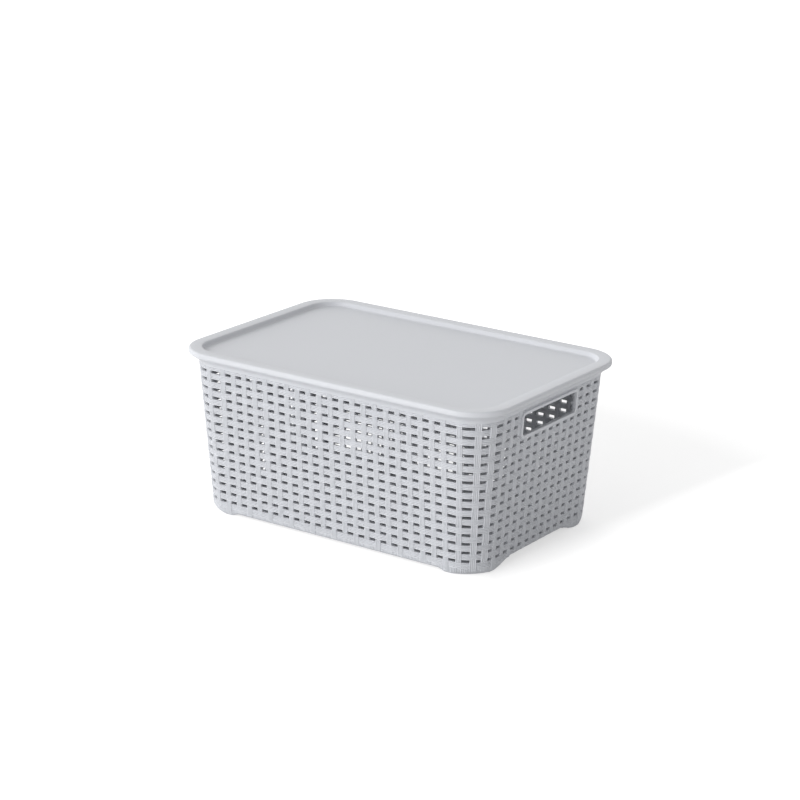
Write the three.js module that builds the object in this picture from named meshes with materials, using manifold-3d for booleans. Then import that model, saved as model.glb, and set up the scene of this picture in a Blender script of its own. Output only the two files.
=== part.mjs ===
// A storage box with a lift-off lid, moulded in one colour of plastic to look like woven cane.
// Millimetres, +Z up. The origin is on the ground under the middle of the box. The long sides
// run along X, and the two hand holes are in the short sides.
//
// Both mouldings follow one plan: a rectangle with round corners. A ring of the box is that plan
// grown outward by some offset, at some level, so a wall, a rim or an edge is a profile of offsets
// and levels carried round the plan. Down the wall the corner centres draw in with the wall's
// lean, so that its corners nearly keep their radius.

import * as THREE from 'three';
import { mergeVertices } from 'three/addons/utils/BufferGeometryUtils.js';
import Module from 'manifold-3d';

const wasm = await Module();
wasm.setup();

// Plan of the basket, over the wall at the top of the open mesh
const boxLength = 350;
const boxWidth = 234;
const cornerRadius = 31.5;
const draftDegrees = 3.85;
const cornerDriftShare = 0.87;

// Open mesh of the wall: stakes stand behind the bands that run round the box
const meshBottom = 13.4;
const meshTop = 151.5;
const wallThickness = 3.2;
const bandDepthShare = 0.5;
const longColumns = 17;
const shortColumns = 10;
const cornerColumns = 2;
const meshRows = 12;
const holeWidthShare = 0.54;
const holeHeightShare = 0.32;

// Base: a floor, and a skirt below it that is arched between four corner feet
const floorLevel = 8.2;
const floorThickness = 2.2;
const floorFillet = 2.4;
const longArch = 2.6;
const shortArch = 7;
const longFootReach = 4.9;
const shortFootReach = 1;
const longArchRun = 12.8;
const shortArchRun = 30;
const archSteps = 4;
const sideEdgeRadius = 3.5;
const cornerEdgeRadius = 8;
const edgeSteps = 4;
const footSteps = 4;
const skirtLand = 5;
const skirtDraft = 1.5;

// Rim of the basket: a cove out to a lip, with a bead on it that stands inside the lid
const collarHeight = 3;
const coveRadius = 8.5;
const rimThickness = 2.6;
const coveSteps = 3;
const lipHeight = 1;
const lipLedge = 1.2;
const beadHeight = 3.9;
const beadWidth = 2.8;

// Hand holes with a raised frame, one in each short side
const handWidth = 95;
const handHeight = 21;
const handLevel = 129.4;
const handCornerRadius = 3;
const handCornerSteps = 3;
const frameWidth = 3;
const frameProud = 1.5;
const frameInset = 0.6;
const frameMargin = 1.2;

// Lid: a flat panel sunk below a broad hollow rim
const lidGap = 0.3;
const lidWall = 1.8;
const lidOverhang = 1.95;
const rimWidth = 12.9;
const noseRadius = 3;
const noseSteps = 3;
const noseTuck = 1.4;
const noseDrop = 2.7;
const panelDepth = 4.8;
const recessDraft = 2.6;
const recessFillet = 0.7;
const lidCornerSteps = 8;

// A cut runs past the wall by this much on both sides
const overrun = 20;

// Worked out from the sizes above
const draft = Math.tan(THREE.MathUtils.degToRad(draftDegrees));
const flatLong = boxLength / 2 - cornerRadius;
const flatShort = boxWidth / 2 - cornerRadius;
const cornerArc = cornerRadius * Math.PI / 2;
const bandDepth = wallThickness * bandDepthShare;
const rowPitch = (meshTop - meshBottom) / (meshRows - 1 + holeHeightShare);
const holeHeight = rowPitch * holeHeightShare;
const coveFoot = meshTop + collarHeight;
const lipTop = coveFoot + coveRadius + lipHeight;
const beadTop = lipTop + beadHeight;
const lidRimTop = beadTop + lidGap + lidWall;

// How far the wall has grown outward at a level, against its place at the top of the mesh
const wallOffset = (level) => (level - meshTop) * draft;

// How far the corner centres have drawn in at a level, less than zero below the top of the mesh
const cornerDrift = (level) => Math.min(0, wallOffset(level)) * cornerDriftShare;

// Offsets of the cove's outer end, where the basket is widest
const lipOffset = wallOffset(coveFoot) + coveRadius;

// The plan is walked anticlockwise: a short side, a corner, a long side, a corner, twice over.
// A station is a distance along that walk.
const sideCount = 4;
const sideNumbers = [...Array(sideCount).keys()];
const isShort = (side) => side % 2 === 0;
const sideHalf = (side) => (isShort(side) ? flatShort : flatLong);
const sideStand = (side) => (isShort(side) ? flatLong : flatShort);
const walkPast = (sides) => sides.reduce((walked, side) => walked + 2 * sideHalf(side) + cornerArc, 0);
const sideStart = sideNumbers.map((side) => walkPast(sideNumbers.slice(0, side)));
const walkLength = walkPast(sideNumbers);

// Stations nearer than this are one station
const closeTo = cornerRadius / 1e6;

// The side that a station lies on, the way along it, and the turn taken in the corner after it
function placeOf(station) {
  const walked = ((station % walkLength) + walkLength) % walkLength;
  const side = sideStart.filter((start) => start <= walked + closeTo).length - 1;
  const along = Math.max(0, walked - sideStart[side]);
  const turn = Math.max(0, along - 2 * sideHalf(side)) / cornerRadius;
  return { side, along, turn };
}

// The point of the plan's spine at a station, with its corners drawn in by the drift, and the
// direction straight out from it
function spineAt(station, drift) {
  const { side, along, turn } = placeOf(station);
  const facing = side * Math.PI / 2;
  const half = sideHalf(side);
  const stand = sideStand(side) + drift;
  const run = (Math.min(along, 2 * half) - half) * (half + drift) / half;
  return {
    x: Math.cos(facing) * stand - Math.sin(facing) * run,
    y: Math.sin(facing) * stand + Math.cos(facing) * run,
    outX: Math.cos(facing + turn),
    outY: Math.sin(facing + turn),
  };
}

// A point of the box: so far along the walk, grown outward by an offset, at a level
function pointAt(station, offset, level) {
  const drift = cornerDrift(level);
  const spine = spineAt(station, drift);
  const reach = cornerRadius + offset - drift;
  return [spine.x + spine.outX * reach, spine.y + spine.outY * reach, level];
}

// A closed surface is gathered as loose triangles, and its corners are joined at the end
function newSurface() {
  return { corners: [] };
}

function addTriangle(surface, a, b, c) {
  surface.corners.push(...a, ...b, ...c);
}

// Fills between two lines of points whose keys both rise: the line whose next stretch has the
// nearer middle steps on first, so equal keys are always joined straight across. With the keys
// running anticlockwise and the first line above the second, the filling faces out.
function fillBetween(surface, first, second) {
  const nextMiddle = (line, index) => (
    index < line.length - 1 ? (line[index].key + line[index + 1].key) / 2 : Infinity);
  let i = 0;
  let j = 0;
  while (i < first.length - 1 || j < second.length - 1) {
    if (nextMiddle(first, i) <= nextMiddle(second, j)) {
      addTriangle(surface, first[i].at, second[j].at, first[i + 1].at);
      i += 1;
    } else {
      addTriangle(surface, first[i].at, second[j].at, second[j + 1].at);
      j += 1;
    }
  }
}

// A line round the box, or part of it, through the given stations
function lineRound(stations, offsetAt, levelAt) {
  return stations.map((station) => ({
    key: station,
    at: pointAt(station, offsetAt(station), levelAt(station)),
  }));
}

// A line down the wall at one station, at a depth in from its outer face
function lineDown(station, depth, levels) {
  return levels.map((level) => ({
    key: -level,
    at: pointAt(station, wallOffset(level) - depth, level),
  }));
}

// A line round the wall at one level, at a depth in from its outer face
function lineInWall(stations, depth, level) {
  return lineRound(stations, () => wallOffset(level) - depth, () => level);
}

const sorted = (stations) => [...new Set(stations)].sort((a, b) => a - b);

// The stations of a list that lie in a stretch of the walk, with the stretch's two ends
function stationsIn(list, from, to) {
  const twice = [...list, ...list.map((station) => station + walkLength)];
  const inside = twice.filter((station) => station > from + closeTo && station < to - closeTo);
  return [from, ...sorted(inside), to];
}

// The columns of holes, in the order of the walk
function makeColumns() {
  const columns = [];
  for (let side = 0; side < sideCount; side += 1) {
    const count = isShort(side) ? shortColumns : longColumns;
    const pitch = 2 * sideHalf(side) / count;
    for (let index = 0; index < count; index += 1) {
      const middle = sideStart[side] + pitch * (index + 0.5);
      columns.push({ side, middle, width: pitch * holeWidthShare });
    }
    const nextSide = (side + 1) % sideCount;
    const nextCount = isShort(nextSide) ? shortColumns : longColumns;
    const nextPitch = 2 * sideHalf(nextSide) / nextCount;
    const cornerPitch = (pitch / 2 + cornerArc + nextPitch / 2) / (cornerColumns + 1);
    const lastMiddle = sideStart[side] + 2 * sideHalf(side) - pitch / 2;
    for (let index = 1; index <= cornerColumns; index += 1) {
      const middle = lastMiddle + cornerPitch * index;
      columns.push({ side: -1, middle, width: cornerPitch * holeWidthShare });
    }
  }
  return columns.map((column) => ({
    side: column.side,
    from: column.middle - column.width / 2,
    to: column.middle + column.width / 2,
  }));
}

const columns = makeColumns();
const rows = [...Array(meshRows).keys()].map((row) => ({
  top: meshTop - row * rowPitch,
  bottom: meshTop - row * rowPitch - holeHeight,
}));
const lastRow = rows[meshRows - 1];

// Round a hand hole the wall is solid: the columns and rows there are left out
const handReach = handWidth / 2 + frameWidth + frameMargin;
const handFoot = handLevel - frameWidth - frameMargin;
const plates = sideNumbers.filter(isShort).map((side) => {
  const middle = sideStart[side] + flatShort;
  const inside = columns.filter((column) => column.side === side
    && column.to > middle - handReach && column.from < middle + handReach);
  const before = columns[(columns.indexOf(inside[0]) + columns.length - 1) % columns.length];
  const after = columns[columns.indexOf(inside[inside.length - 1]) + 1];
  const from = before.to > inside[0].from ? before.to - walkLength : before.to;
  return { from, to: after.from, inside };
});
const plateRows = rows.filter((row) => row.top > handFoot).length;
const plateBottom = rows[plateRows - 1].bottom;
const inPlate = (column) => plates.some((plate) => plate.inside.includes(column));
const plateOver = (station) => plates.some(({ from, to }) => (
  [station, station - walkLength].some((place) => place > from + closeTo && place < to - closeTo)));
const onPlateEdge = (station) => plates.some((plate) => (
  Math.abs(plate.from - station) < closeTo || Math.abs(plate.to - station) < closeTo
  || Math.abs(plate.from + walkLength - station) < closeTo));

// Bends are the stations where the wall turns: the ends of each corner, and its hole edges
const bends = sorted([
  0,
  walkLength,
  ...sideStart,
  ...sideStart.map((start, side) => start + 2 * sideHalf(side)),
  ...columns.filter((column) => column.side < 0).flatMap((column) => [column.from, column.to]),
]);
const holeEdges = sorted([...bends, ...columns.flatMap((column) => [column.from, column.to])]);
const plateEdges = plates.flatMap((plate) => [plate.from, plate.to]);
const bendsAndPlates = sorted([...bends, ...plateEdges]);
const holeEdgesOffPlates = holeEdges.filter((station) => !plateOver(station));

// The stretches of the walk where a row's slot is open: all round, or between the plates
const wholeWalk = [{ from: 0, to: walkLength }];
const betweenPlates = [
  { from: plates[0].to, to: plates[1].from },
  { from: plates[1].to, to: plates[0].from + walkLength },
];
const openStretches = (row) => (row < plateRows ? betweenPlates : wholeWalk);

// Bands: the outer half of the wall, one band between each two rows of holes
function addBands(surface) {
  rows.forEach((row, index) => {
    openStretches(index).forEach(({ from, to }) => {
      const outer = stationsIn(bends, from, to);
      const middle = stationsIn(holeEdges, from, to);
      fillBetween(surface, lineInWall(outer, 0, row.top), lineInWall(middle, bandDepth, row.top));
      fillBetween(surface, lineInWall(middle, bandDepth, row.bottom), lineInWall(outer, 0, row.bottom));
    });
    if (index === meshRows - 1) return;
    const below = rows[index + 1];
    const stretches = index + 1 < plateRows ? betweenPlates : wholeWalk;
    const upperList = index + 1 === plateRows ? bendsAndPlates : bends;
    stretches.forEach(({ from, to }) => {
      const upper = lineInWall(stationsIn(upperList, from, to), 0, row.bottom);
      const lower = lineInWall(stationsIn(bends, from, to), 0, below.top);
      fillBetween(surface, upper, lower);
    });
  });
}

// The levels of a hole column's edge, from the top of its channel down
function channelLevels(channelTop) {
  const levels = rows.flatMap((row) => [row.top, row.bottom]);
  return levels.filter((level) => level <= channelTop);
}

// Channels: the open space between two stakes, in the inner half of the wall
function addChannels(surface) {
  columns.forEach((column) => {
    const channelTop = inPlate(column) ? plateBottom : meshTop;
    const across = stationsIn(holeEdges, column.from, column.to);
    const topOuter = lineInWall(across, bandDepth, channelTop);
    fillBetween(surface, topOuter, lineInWall(across, wallThickness, channelTop));
    const footInner = lineInWall(across, wallThickness, lastRow.bottom);
    fillBetween(surface, footInner, lineInWall(across, bandDepth, lastRow.bottom));
    const levels = channelLevels(channelTop);
    [column.from, column.to].forEach((station) => {
      const split = onPlateEdge(station) ? [plateBottom] : [];
      const innerLevels = [channelTop, ...split, lastRow.bottom];
      const outerLine = lineDown(station, bandDepth, levels);
      const innerLine = lineDown(station, wallThickness, innerLevels);
      if (station === column.from) fillBetween(surface, innerLine, outerLine);
      else fillBetween(surface, outerLine, innerLine);
    });
    rows.slice(0, -1).forEach((row, index) => {
      if (row.bottom > channelTop) return;
      const backTop = lineInWall(across, bandDepth, row.bottom);
      fillBetween(surface, lineInWall(across, bandDepth, rows[index + 1].top), backTop);
    });
  });
}

// Stakes: the inner half of the wall between two channels
function addStakes(surface) {
  columns.forEach((column, index) => {
    const next = columns[(index + 1) % columns.length];
    const to = next.from > column.to ? next.from : next.from + walkLength;
    const across = stationsIn(holeEdges, column.to, to);
    const underPlate = plateOver((column.to + to) / 2);
    rows.forEach((row, rowIndex) => {
      if (underPlate && rowIndex < plateRows) return;
      const upper = lineInWall(across, bandDepth, row.top);
      fillBetween(surface, upper, lineInWall(across, bandDepth, row.bottom));
    });
    const stakeTop = underPlate ? plateBottom : meshTop;
    const foot = lineInWall(across, wallThickness, lastRow.bottom);
    fillBetween(surface, foot, lineInWall(across, wallThickness, stakeTop));
  });
}

// Plates: the solid stretch of wall that each hand hole is cut from
function addPlates(surface) {
  plates.forEach((plate) => {
    const ends = [plate.from, plate.to];
    const across = stationsIn(holeEdges, plate.from, plate.to);
    const backFoot = lineInWall(across, wallThickness, plateBottom);
    fillBetween(surface, backFoot, lineInWall(ends, wallThickness, meshTop));
    const levels = rows.slice(0, plateRows).flatMap((row) => [row.top, row.bottom]);
    fillBetween(surface, lineDown(plate.to, 0, levels), lineDown(plate.from, 0, levels));
    rows.slice(0, plateRows).forEach((row) => {
      const span = [row.top, row.bottom];
      fillBetween(surface, lineDown(plate.from, 0, span), lineDown(plate.from, bandDepth, span));
      fillBetween(surface, lineDown(plate.to, bandDepth, span), lineDown(plate.to, 0, span));
    });
  });
}

// Carries a profile round the box: each of its rings has stations, an offset and a level,
// and the rings run over the top of the moulding from outside to inside
function addRings(surface, rings) {
  rings.slice(1).forEach((ring, index) => {
    const before = rings[index];
    const upper = lineRound(ring.stations, ring.offset, ring.level);
    fillBetween(surface, upper, lineRound(before.stations, before.offset, before.level));
  });
}

const evenRing = (stations, offset, level) => ({ stations, offset: () => offset, level: () => level });

// Closes a ring with a flat face about the middle of the box
function addCap(surface, ring, faceUp) {
  const level = ring.level(0);
  const rim = lineRound(ring.stations, ring.offset, ring.level);
  rim.slice(1).forEach((point, index) => {
    const middle = [0, 0, level];
    if (faceUp) addTriangle(surface, middle, rim[index].at, point.at);
    else addTriangle(surface, middle, point.at, rim[index].at);
  });
}

// The rim of the basket, from the top of the mesh outside to the top of the mesh inside
function addRim(surface) {
  const rings = [evenRing(bendsAndPlates, 0, meshTop)];
  const coveBase = wallOffset(coveFoot);
  for (let step = 0; step <= coveSteps; step += 1) {
    const turn = step / coveSteps * Math.PI / 2;
    const offset = coveBase + coveRadius * (1 - Math.cos(turn));
    rings.push(evenRing(bends, offset, coveFoot + coveRadius * Math.sin(turn)));
  }
  const beadOuter = lipOffset - lipLedge;
  const beadInner = beadOuter - beadWidth;
  rings.push(evenRing(bends, lipOffset, lipTop));
  rings.push(evenRing(bends, beadOuter, lipTop));
  rings.push(evenRing(bends, beadOuter, beadTop));
  rings.push(evenRing(bends, beadInner, beadTop));
  const innerRadius = coveRadius + rimThickness;
  const beadTurn = Math.acos((lipOffset - beadInner) / innerRadius);
  for (let step = coveSteps - 1; step >= 0; step -= 1) {
    const turn = step / (coveSteps - 1) * beadTurn;
    const offset = lipOffset - innerRadius * Math.cos(turn);
    rings.push(evenRing(bends, offset, coveFoot + innerRadius * Math.sin(turn)));
  }
  rings.push(evenRing(holeEdgesOffPlates, -wallThickness, meshTop));
  addRings(surface, rings);
}

const smooth = (share) => share * share * (3 - 2 * share);

// The arch under each side: its rise, where it starts from the corner, and the run of its end
const arches = sideNumbers.map((side) => (isShort(side)
  ? { rise: shortArch, reach: shortFootReach, run: shortArchRun }
  : { rise: longArch, reach: longFootReach, run: longArchRun }));

// The level of the skirt's edge: on the ground at the corner feet, arched along the sides
function skirtLevel(station) {
  const { side, along } = placeOf(station);
  const depth = Math.min(along, 2 * sideHalf(side) - along);
  const arch = arches[side];
  return arch.rise * smooth(THREE.MathUtils.clamp((depth - arch.reach) / arch.run, 0, 1));
}

// The round of the skirt's outer edge: small along the sides and large at the corners
function edgeRadius(station) {
  const bulge = Math.sin(2 * placeOf(station).turn);
  return sideEdgeRadius + (cornerEdgeRadius - sideEdgeRadius) * bulge;
}

// The inner edge of the skirt's land runs along the sides and straight across each corner
function landOffset(station) {
  const centreReach = cornerRadius - cornerDrift(0);
  const innerReach = centreReach + wallOffset(0) - sideEdgeRadius - skirtLand;
  const { turn } = placeOf(station);
  return innerReach * Math.cos(Math.PI / 4) / Math.cos(turn % (Math.PI / 2) - Math.PI / 4) - centreReach;
}

// Stations of the skirt: the bends, more steps in each corner, and the steps of each arch's ends
function skirtStations() {
  const stations = [...bends];
  arches.forEach(({ reach, run }, side) => {
    const end = sideStart[side] + 2 * sideHalf(side);
    for (let step = 0; step <= archSteps; step += 1) {
      const depth = reach + run * step / archSteps;
      stations.push(sideStart[side] + depth, end - depth);
    }
    for (let step = 1; step < footSteps; step += 1) stations.push(end + cornerArc * step / footSteps);
  });
  return sorted(stations);
}

// The base of the basket, from the floor's underside out to the foot of the mesh, and inside
function addBase(surface) {
  const stations = skirtStations();
  const footOffset = (station) => (
    wallOffset(skirtLevel(station) + edgeRadius(station)) - edgeRadius(station));
  const underside = {
    stations,
    offset: (station) => landOffset(station) - skirtDraft,
    level: () => floorLevel,
  };
  const rings = [underside];
  rings.push({ stations, offset: landOffset, level: skirtLevel });
  for (let step = 0; step <= edgeSteps; step += 1) {
    const turn = step / edgeSteps * Math.PI / 2;
    rings.push({
      stations,
      offset: (station) => footOffset(station) + edgeRadius(station) * Math.sin(turn),
      level: (station) => skirtLevel(station) + edgeRadius(station) * (1 - Math.cos(turn)),
    });
  }
  rings.push(evenRing(bends, wallOffset(lastRow.bottom), lastRow.bottom));
  addRings(surface, rings);
  addCap(surface, underside, false);

  const floorTop = floorLevel + floorThickness;
  const foot = evenRing(bends, wallOffset(floorTop) - wallThickness - floorFillet, floorTop);
  const wallFoot = evenRing(holeEdges, wallOffset(lastRow.bottom) - wallThickness, lastRow.bottom);
  addRings(surface, [wallFoot, foot]);
  addCap(surface, foot, true);
}

function geometryOf(surface) {
  const geometry = new THREE.BufferGeometry();
  geometry.setAttribute('position', new THREE.Float32BufferAttribute(surface.corners, 3));
  return mergeVertices(geometry);
}

function solidOf(geometry) {
  const bare = geometry.clone();
  bare.deleteAttribute('normal');
  bare.deleteAttribute('uv');
  const merged = mergeVertices(bare);
  return new wasm.Manifold(new wasm.Mesh({
    numProp: 3,
    vertProperties: new Float32Array(merged.attributes.position.array),
    triVerts: new Uint32Array(merged.index.array),
  }));
}

function geometryOfSolid(solid) {
  const mesh = solid.getMesh();
  const geometry = new THREE.BufferGeometry();
  geometry.setAttribute('position', new THREE.BufferAttribute(mesh.vertProperties, 3));
  geometry.setIndex(new THREE.BufferAttribute(mesh.triVerts, 1));
  return geometry;
}

// The outline of a hand hole, grown by a margin, about its own middle
function handOutline(grow) {
  const halfWidth = handWidth / 2 + grow;
  const halfHeight = handHeight / 2 + grow;
  const radius = handCornerRadius + grow;
  const outline = new THREE.Shape();
  const corner = [[1, 1], [-1, 1], [-1, -1], [1, -1]];
  corner.forEach(([signX, signY], quarter) => {
    for (let step = 0; step <= handCornerSteps; step += 1) {
      const turn = (quarter + step / handCornerSteps) * Math.PI / 2;
      const x = signX * (halfWidth - radius) + radius * Math.cos(turn);
      const y = signY * (halfHeight - radius) + radius * Math.sin(turn);
      if (quarter === 0 && step === 0) outline.moveTo(x, y);
      else outline.lineTo(x, y);
    }
  });
  return outline;
}

// A block of the hand hole's outline that passes through the wall of the +X side, between two
// places measured out from the wall's outer face
function handBlock(grow, inner, outer) {
  const block = new THREE.ExtrudeGeometry(handOutline(grow), { depth: outer - inner, bevelEnabled: false });
  block.translate(0, 0, inner);
  const middle = handLevel + handHeight / 2;
  const turned = new THREE.Matrix4().makeBasis(
    new THREE.Vector3(0, 1, 0),
    new THREE.Vector3(Math.sin(Math.atan(draft)), 0, Math.cos(Math.atan(draft))),
    new THREE.Vector3(Math.cos(Math.atan(draft)), 0, -Math.sin(Math.atan(draft))),
  );
  const place = new THREE.Matrix4().makeTranslation(boxLength / 2 + wallOffset(middle), 0, middle);
  block.applyMatrix4(place.multiply(turned));
  return block;
}

function makeBasket() {
  const surface = newSurface();
  addBands(surface);
  addChannels(surface);
  addStakes(surface);
  addPlates(surface);
  addRim(surface);
  addBase(surface);
  let basket = solidOf(geometryOf(surface));
  const frame = handBlock(frameWidth, -wallThickness - frameInset, frameProud);
  const opening = handBlock(0, -wallThickness - overrun, overrun);
  [0, Math.PI].forEach((turn) => {
    basket = basket.add(solidOf(frame.clone().rotateZ(turn)));
    basket = basket.subtract(solidOf(opening.clone().rotateZ(turn)));
  });
  return geometryOfSolid(basket);
}

// Stations for the lid: the ends of each corner and even steps between them
function lidStations() {
  const stations = [];
  for (let side = 0; side < sideCount; side += 1) {
    const cornerStart = sideStart[side] + 2 * sideHalf(side);
    stations.push(sideStart[side]);
    for (let step = 0; step < lidCornerSteps; step += 1) {
      stations.push(cornerStart + cornerArc * step / lidCornerSteps);
    }
  }
  return sorted([...stations, walkLength]);
}

// The lid, from the middle of its underside out, over the rounded nose and in to the panel
function makeLid() {
  const surface = newSurface();
  const stations = lidStations();
  const rimOuter = lipOffset + lidOverhang;
  const rimInner = rimOuter - rimWidth;
  const ceiling = beadTop + lidGap;
  const skirtBottom = lipTop + lidGap;
  const panelTop = lidRimTop - panelDepth;
  const noseMiddle = lidRimTop - noseRadius;
  const profile = [
    [rimInner - recessDraft + lidWall, panelTop - lidWall],
    [rimInner + lidWall, ceiling],
    [rimOuter - noseRadius, ceiling],
    [rimOuter - lidWall, noseMiddle],
    [rimOuter - noseTuck - lidWall / 2, skirtBottom],
    [rimOuter - noseTuck, skirtBottom],
    [rimOuter - noseTuck / 4, skirtBottom + noseDrop / 2],
  ];
  for (let step = 0; step <= noseSteps; step += 1) {
    const turn = step / noseSteps * Math.PI / 2;
    profile.push([
      rimOuter - noseRadius * (1 - Math.cos(turn)),
      noseMiddle + noseRadius * Math.sin(turn),
    ]);
  }
  profile.push([rimInner + recessFillet, lidRimTop]);
  profile.push([rimInner, lidRimTop - recessFillet]);
  profile.push([rimInner - recessDraft + recessFillet, panelTop + recessFillet]);
  profile.push([rimInner - recessDraft, panelTop]);
  const rings = profile.map(([offset, level]) => evenRing(stations, offset, level));
  addRings(surface, rings);
  addCap(surface, rings[0], false);
  addCap(surface, rings[rings.length - 1], true);
  return geometryOf(surface);
}

const plastic = new THREE.MeshStandardMaterial({ color: 0xc4c5ca, roughness: 0.5, metalness: 0 });

const box = new THREE.Group();
const basket = new THREE.Mesh(makeBasket(), plastic);
basket.name = 'basket';
const lid = new THREE.Mesh(makeLid(), plastic.clone());
lid.name = 'lid';
box.add(basket, lid);

export default box;
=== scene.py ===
import math

import bpy
import numpy as np
from mathutils import Matrix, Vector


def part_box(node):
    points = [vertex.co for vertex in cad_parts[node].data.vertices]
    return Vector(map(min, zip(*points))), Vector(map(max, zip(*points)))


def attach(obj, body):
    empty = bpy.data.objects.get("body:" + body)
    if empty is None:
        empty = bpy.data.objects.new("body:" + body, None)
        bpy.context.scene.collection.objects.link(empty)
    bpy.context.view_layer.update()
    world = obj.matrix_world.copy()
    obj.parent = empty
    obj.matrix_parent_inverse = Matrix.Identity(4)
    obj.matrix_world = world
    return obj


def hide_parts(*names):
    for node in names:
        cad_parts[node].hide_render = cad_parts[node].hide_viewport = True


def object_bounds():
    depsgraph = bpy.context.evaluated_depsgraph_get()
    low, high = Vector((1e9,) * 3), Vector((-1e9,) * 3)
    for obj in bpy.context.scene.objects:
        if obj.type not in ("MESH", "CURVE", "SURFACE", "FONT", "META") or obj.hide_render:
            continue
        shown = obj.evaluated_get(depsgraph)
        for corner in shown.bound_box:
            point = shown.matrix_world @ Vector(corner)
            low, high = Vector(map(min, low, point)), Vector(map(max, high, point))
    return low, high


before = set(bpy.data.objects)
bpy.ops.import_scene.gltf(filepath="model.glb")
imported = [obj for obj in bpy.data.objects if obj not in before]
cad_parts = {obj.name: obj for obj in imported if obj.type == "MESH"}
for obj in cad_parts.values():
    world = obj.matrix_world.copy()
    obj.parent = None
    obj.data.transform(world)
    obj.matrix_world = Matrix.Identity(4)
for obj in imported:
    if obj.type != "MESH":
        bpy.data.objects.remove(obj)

bl_info = {
    "name": "Rattan storage box",
    "version": (1, 0, 0),
    "blender": (4, 5, 0),
    "location": "3D View > Sidebar > Rattan box",
    "description": "Builds a lidded storage box moulded like woven cane, with its floor, lights and camera",
    "category": "Add Mesh",
}

# The CAD model's box, kept before anything is added to the scene
CAD_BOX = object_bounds()
BASKET_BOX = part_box("basket")

# How far the basket's lip stands out from the top of its mesh, in metres
LIP_REACH = 0.008702

# The outlines below are offsets out from the plan, each with its level, in millimetres

# The cove under the lip, from its foot out to the lip
COVE = (
    (-1.3, 153.3), (-0.5, 154.6), (0.32, 155.5), (0.62, 156.3), (1.283, 157.4), (2.037, 158.4),
    (2.885, 159.3), (3.922, 160.2), (4.959, 161), (5.996, 161.75), (7.033, 162.5), (8.07, 163.2),
    (8.542, 163.55), (8.7, 163.9),
)

# The lip's ledge, the bead that stands on it inside the lid, and the inner face down behind the cove
BEAD = (
    (8.7, 164), (7.632, 164), (7.502, 164.15), (7.502, 167.5), (7.132, 167.9), (5.132, 167.9),
    (4.702, 167.5), (4.532, 164.6), (2.732, 163.3), (0.932, 161.6), (-0.768, 159.4), (-1.968, 157),
    (-2.768, 154.4), (-3.468, 152), (-2.668, 151.9),
)

# The lid below its shoulder: from its flat underside up through the hollow rim, and round its outer edge
LID_HOLLOW = (
    (-4.82, 163.4), (-3.05, 163.4), (-2.82, 163.7), (-0.62, 167.9), (-0.22, 168.2), (7.18, 168.2),
    (8.38, 167.8), (8.78, 166.9), (8.38, 164.5),
)
LID_EDGE = (
    (8.48, 164.25), (9.45, 164.25), (9.9, 164.38), (10.25, 164.7), (10.5, 165.2), (10.63, 165.8),
    (10.65, 166.4),
)

# The middle and the radius of the lid's round shoulder
LID_SHOULDER = (8.35, 167.8)
SHOULDER_RADIUS = 2.2

# The lid past its flat top: round into the recess, down its wall and out onto the sunk panel
LID_RECESS = (
    (-1.9, 170), (-2.5, 169.87), (-3, 169.5), (-3.35, 168.95), (-3.55, 168.3), (-3.8, 167), (-4.05, 166.3),
    (-4.5, 165.75), (-5.15, 165.38), (-5.95, 165.22), (-6.8, 165.2), (-10, 165.2),
)

# The step of the rim's and the lid's rings along a side, in metres, and their steps round a corner
RING_STEP = 0.012
RIM_CORNER_STEPS = 20
LID_CORNER_STEPS = 24

# How many steps make the lid's shoulder, a bar from one crossing to the next, a rib of the skirt,
# the round of its edge, the fillet of the floor and a corner of a hand hole's frame
SHOULDER_STEPS = 8
BAR_STEPS = 4
SKIRT_STEPS = 4
EDGE_STEPS = 8
FILLET_STEPS = 3
FRAME_STEPS = 6

# Edges sharper than this stay creased, in degrees: on the smooth pieces, and on the ribbed bars
SMOOTH_CREASE = 35
BAR_CREASE = 60

# The detail of the noise in the plastic's cloudy patches, and in its grain and fibre lines
PATCH_DETAIL = 3
FINE_DETAIL = 2

# Where the floor is clear of the box, on its right, in front and on its left: a direction, and how far
# along it that starts, in metres from the middle of the box
CLEAR_FLOOR = (((0.98, -0.12, 0), 0.16), ((0, -1, 0), 0.07), ((-1, 0, 0), 0.15))

# The directions and the colour that the lights are set by
LEFT = (-1, 0, 0)
UP = (0, 0, 1)
WHITE = (1, 1, 1, 1)


def length(name, millimetres, description):
    """A length that is given in millimetres and kept in metres."""
    return bpy.props.FloatProperty(
        name=name, description=description, default=millimetres / 1000, unit="LENGTH", precision=5)


def angle(name, degrees, description):
    """An angle that is given in degrees and kept in radians."""
    return bpy.props.FloatProperty(
        name=name, description=description, default=math.radians(degrees), subtype="ANGLE")


def number(name, value, description):
    """A number without a unit."""
    return bpy.props.FloatProperty(name=name, description=description, default=value)


def colour(name, value, description):
    """A colour in linear red, green and blue."""
    return bpy.props.FloatVectorProperty(
        name=name, description=description, default=value, subtype="COLOR", size=3, min=0, max=1)


class BodySizes(bpy.types.PropertyGroup):
    """The plan that every ring of the box follows, and the lean of its wall."""

    half_length: length("Half length", (BASKET_BOX[1][0] - LIP_REACH) * 1000,
                        "From the middle out to the wall of a short side, at the top of the mesh")
    half_width: length("Half width", (BASKET_BOX[1][1] - LIP_REACH) * 1000,
                       "From the middle out to the wall of a long side, at the top of the mesh")
    corner_radius: length("Corner radius", 31.5, "Radius of the wall's corners at the top of the mesh")
    mesh_top: length("Top of mesh", 151.5, "Level at which the plan is measured")
    draft: angle("Draft", 3.85, "How far the wall leans out of the upright")
    corner_drift: number("Corner drift", 0.87, "Share of the wall's lean that its corner centres follow")


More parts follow.
